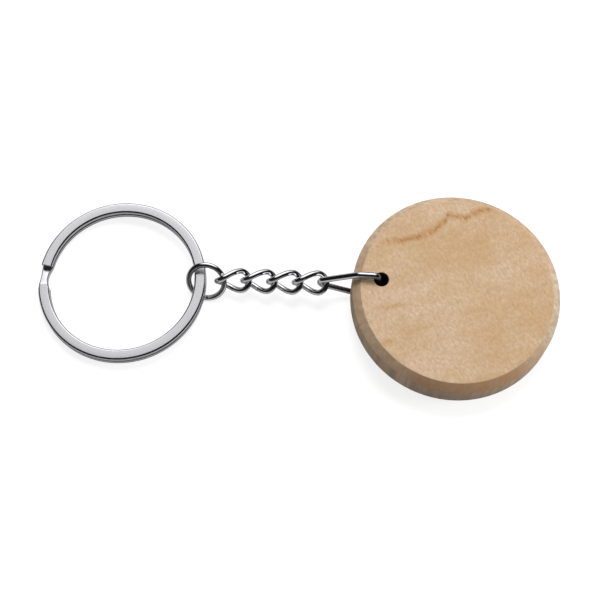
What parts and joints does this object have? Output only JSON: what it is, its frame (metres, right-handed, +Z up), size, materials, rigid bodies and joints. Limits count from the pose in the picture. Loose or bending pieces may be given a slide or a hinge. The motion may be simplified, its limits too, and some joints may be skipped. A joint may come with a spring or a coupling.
{
  "type": "wooden keyring",
  "caption": "Round wooden fob with eased edges, drilled near the rim and hung by a wire loop and a short curb chain from a flat-wire split ring.",
  "frame": {"origin": "middle of the keyring's footprint, on the surface it lies on", "axes": "+X along the chain from the split ring to the wooden disc, +Y across the chain, +Z up off the surface"},
  "size_m": [0.1014, 0.0402, 0.0115],
  "materials": {
    "maple": "bare, finely sanded",
    "satin_nickel": "satin",
    "bright_nickel": "polished"
  },
  "bodies": {
    "wooden_disc": {"wooden_disc": "maple"},
    "long_link": {"long_link": "bright_nickel"},
    "chain_link_4": {"chain_link_4": "bright_nickel"},
    "chain_link_3": {"chain_link_3": "bright_nickel"},
    "chain_link_2": {"chain_link_2": "bright_nickel"},
    "chain_link_1": {"chain_link_1": "bright_nickel"},
    "jump_ring": {"jump_ring": "bright_nickel"},
    "split_ring": {"split_ring": "satin_nickel"}
  },
  "joints": [
    {"name": "disc_hole", "type": "hinge", "parent": "wooden_disc", "child": "long_link", "pos_m": [0.01587, 0.00108, 0.00558], "axis": [0.0505, -0.0037, 0.9987], "range_deg": [-25, 25]},
    {"name": "long_link_tip", "type": "hinge", "parent": "long_link", "child": "chain_link_4", "pos_m": [0.00433, 0.00156, 0.00488], "axis": [0, 0, -1], "range_deg": [-35, 35]},
    {"name": "link_4_to_3", "type": "hinge", "parent": "chain_link_4", "child": "chain_link_3", "pos_m": [-0.00066, 0.0014, 0.00446], "axis": [0, 0, 1], "range_deg": [-45, 45]},
    {"name": "link_3_to_2", "type": "hinge", "parent": "chain_link_3", "child": "chain_link_2", "pos_m": [-0.00568, 0.0014, 0.00408], "axis": [0, 0, -1], "range_deg": [-45, 45]},
    {"name": "link_2_to_1", "type": "hinge", "parent": "chain_link_2", "child": "chain_link_1", "pos_m": [-0.0107, 0.0014, 0.00387], "axis": [0, 0, 1], "range_deg": [-45, 45]},
    {"name": "link_1_to_jump_ring", "type": "hinge", "parent": "chain_link_1", "child": "jump_ring", "pos_m": [-0.01502, 0.0009, 0.00361], "axis": [0, 0, -1], "range_deg": [-15, 15]},
    {"name": "split_ring_turn", "type": "hinge", "parent": "jump_ring", "child": "split_ring", "pos_m": [-0.03439, 0.00039, 0.00205], "axis": [-0.0523, -0.0046, 0.9986], "range_deg": [-150, 150]}
  ]
}
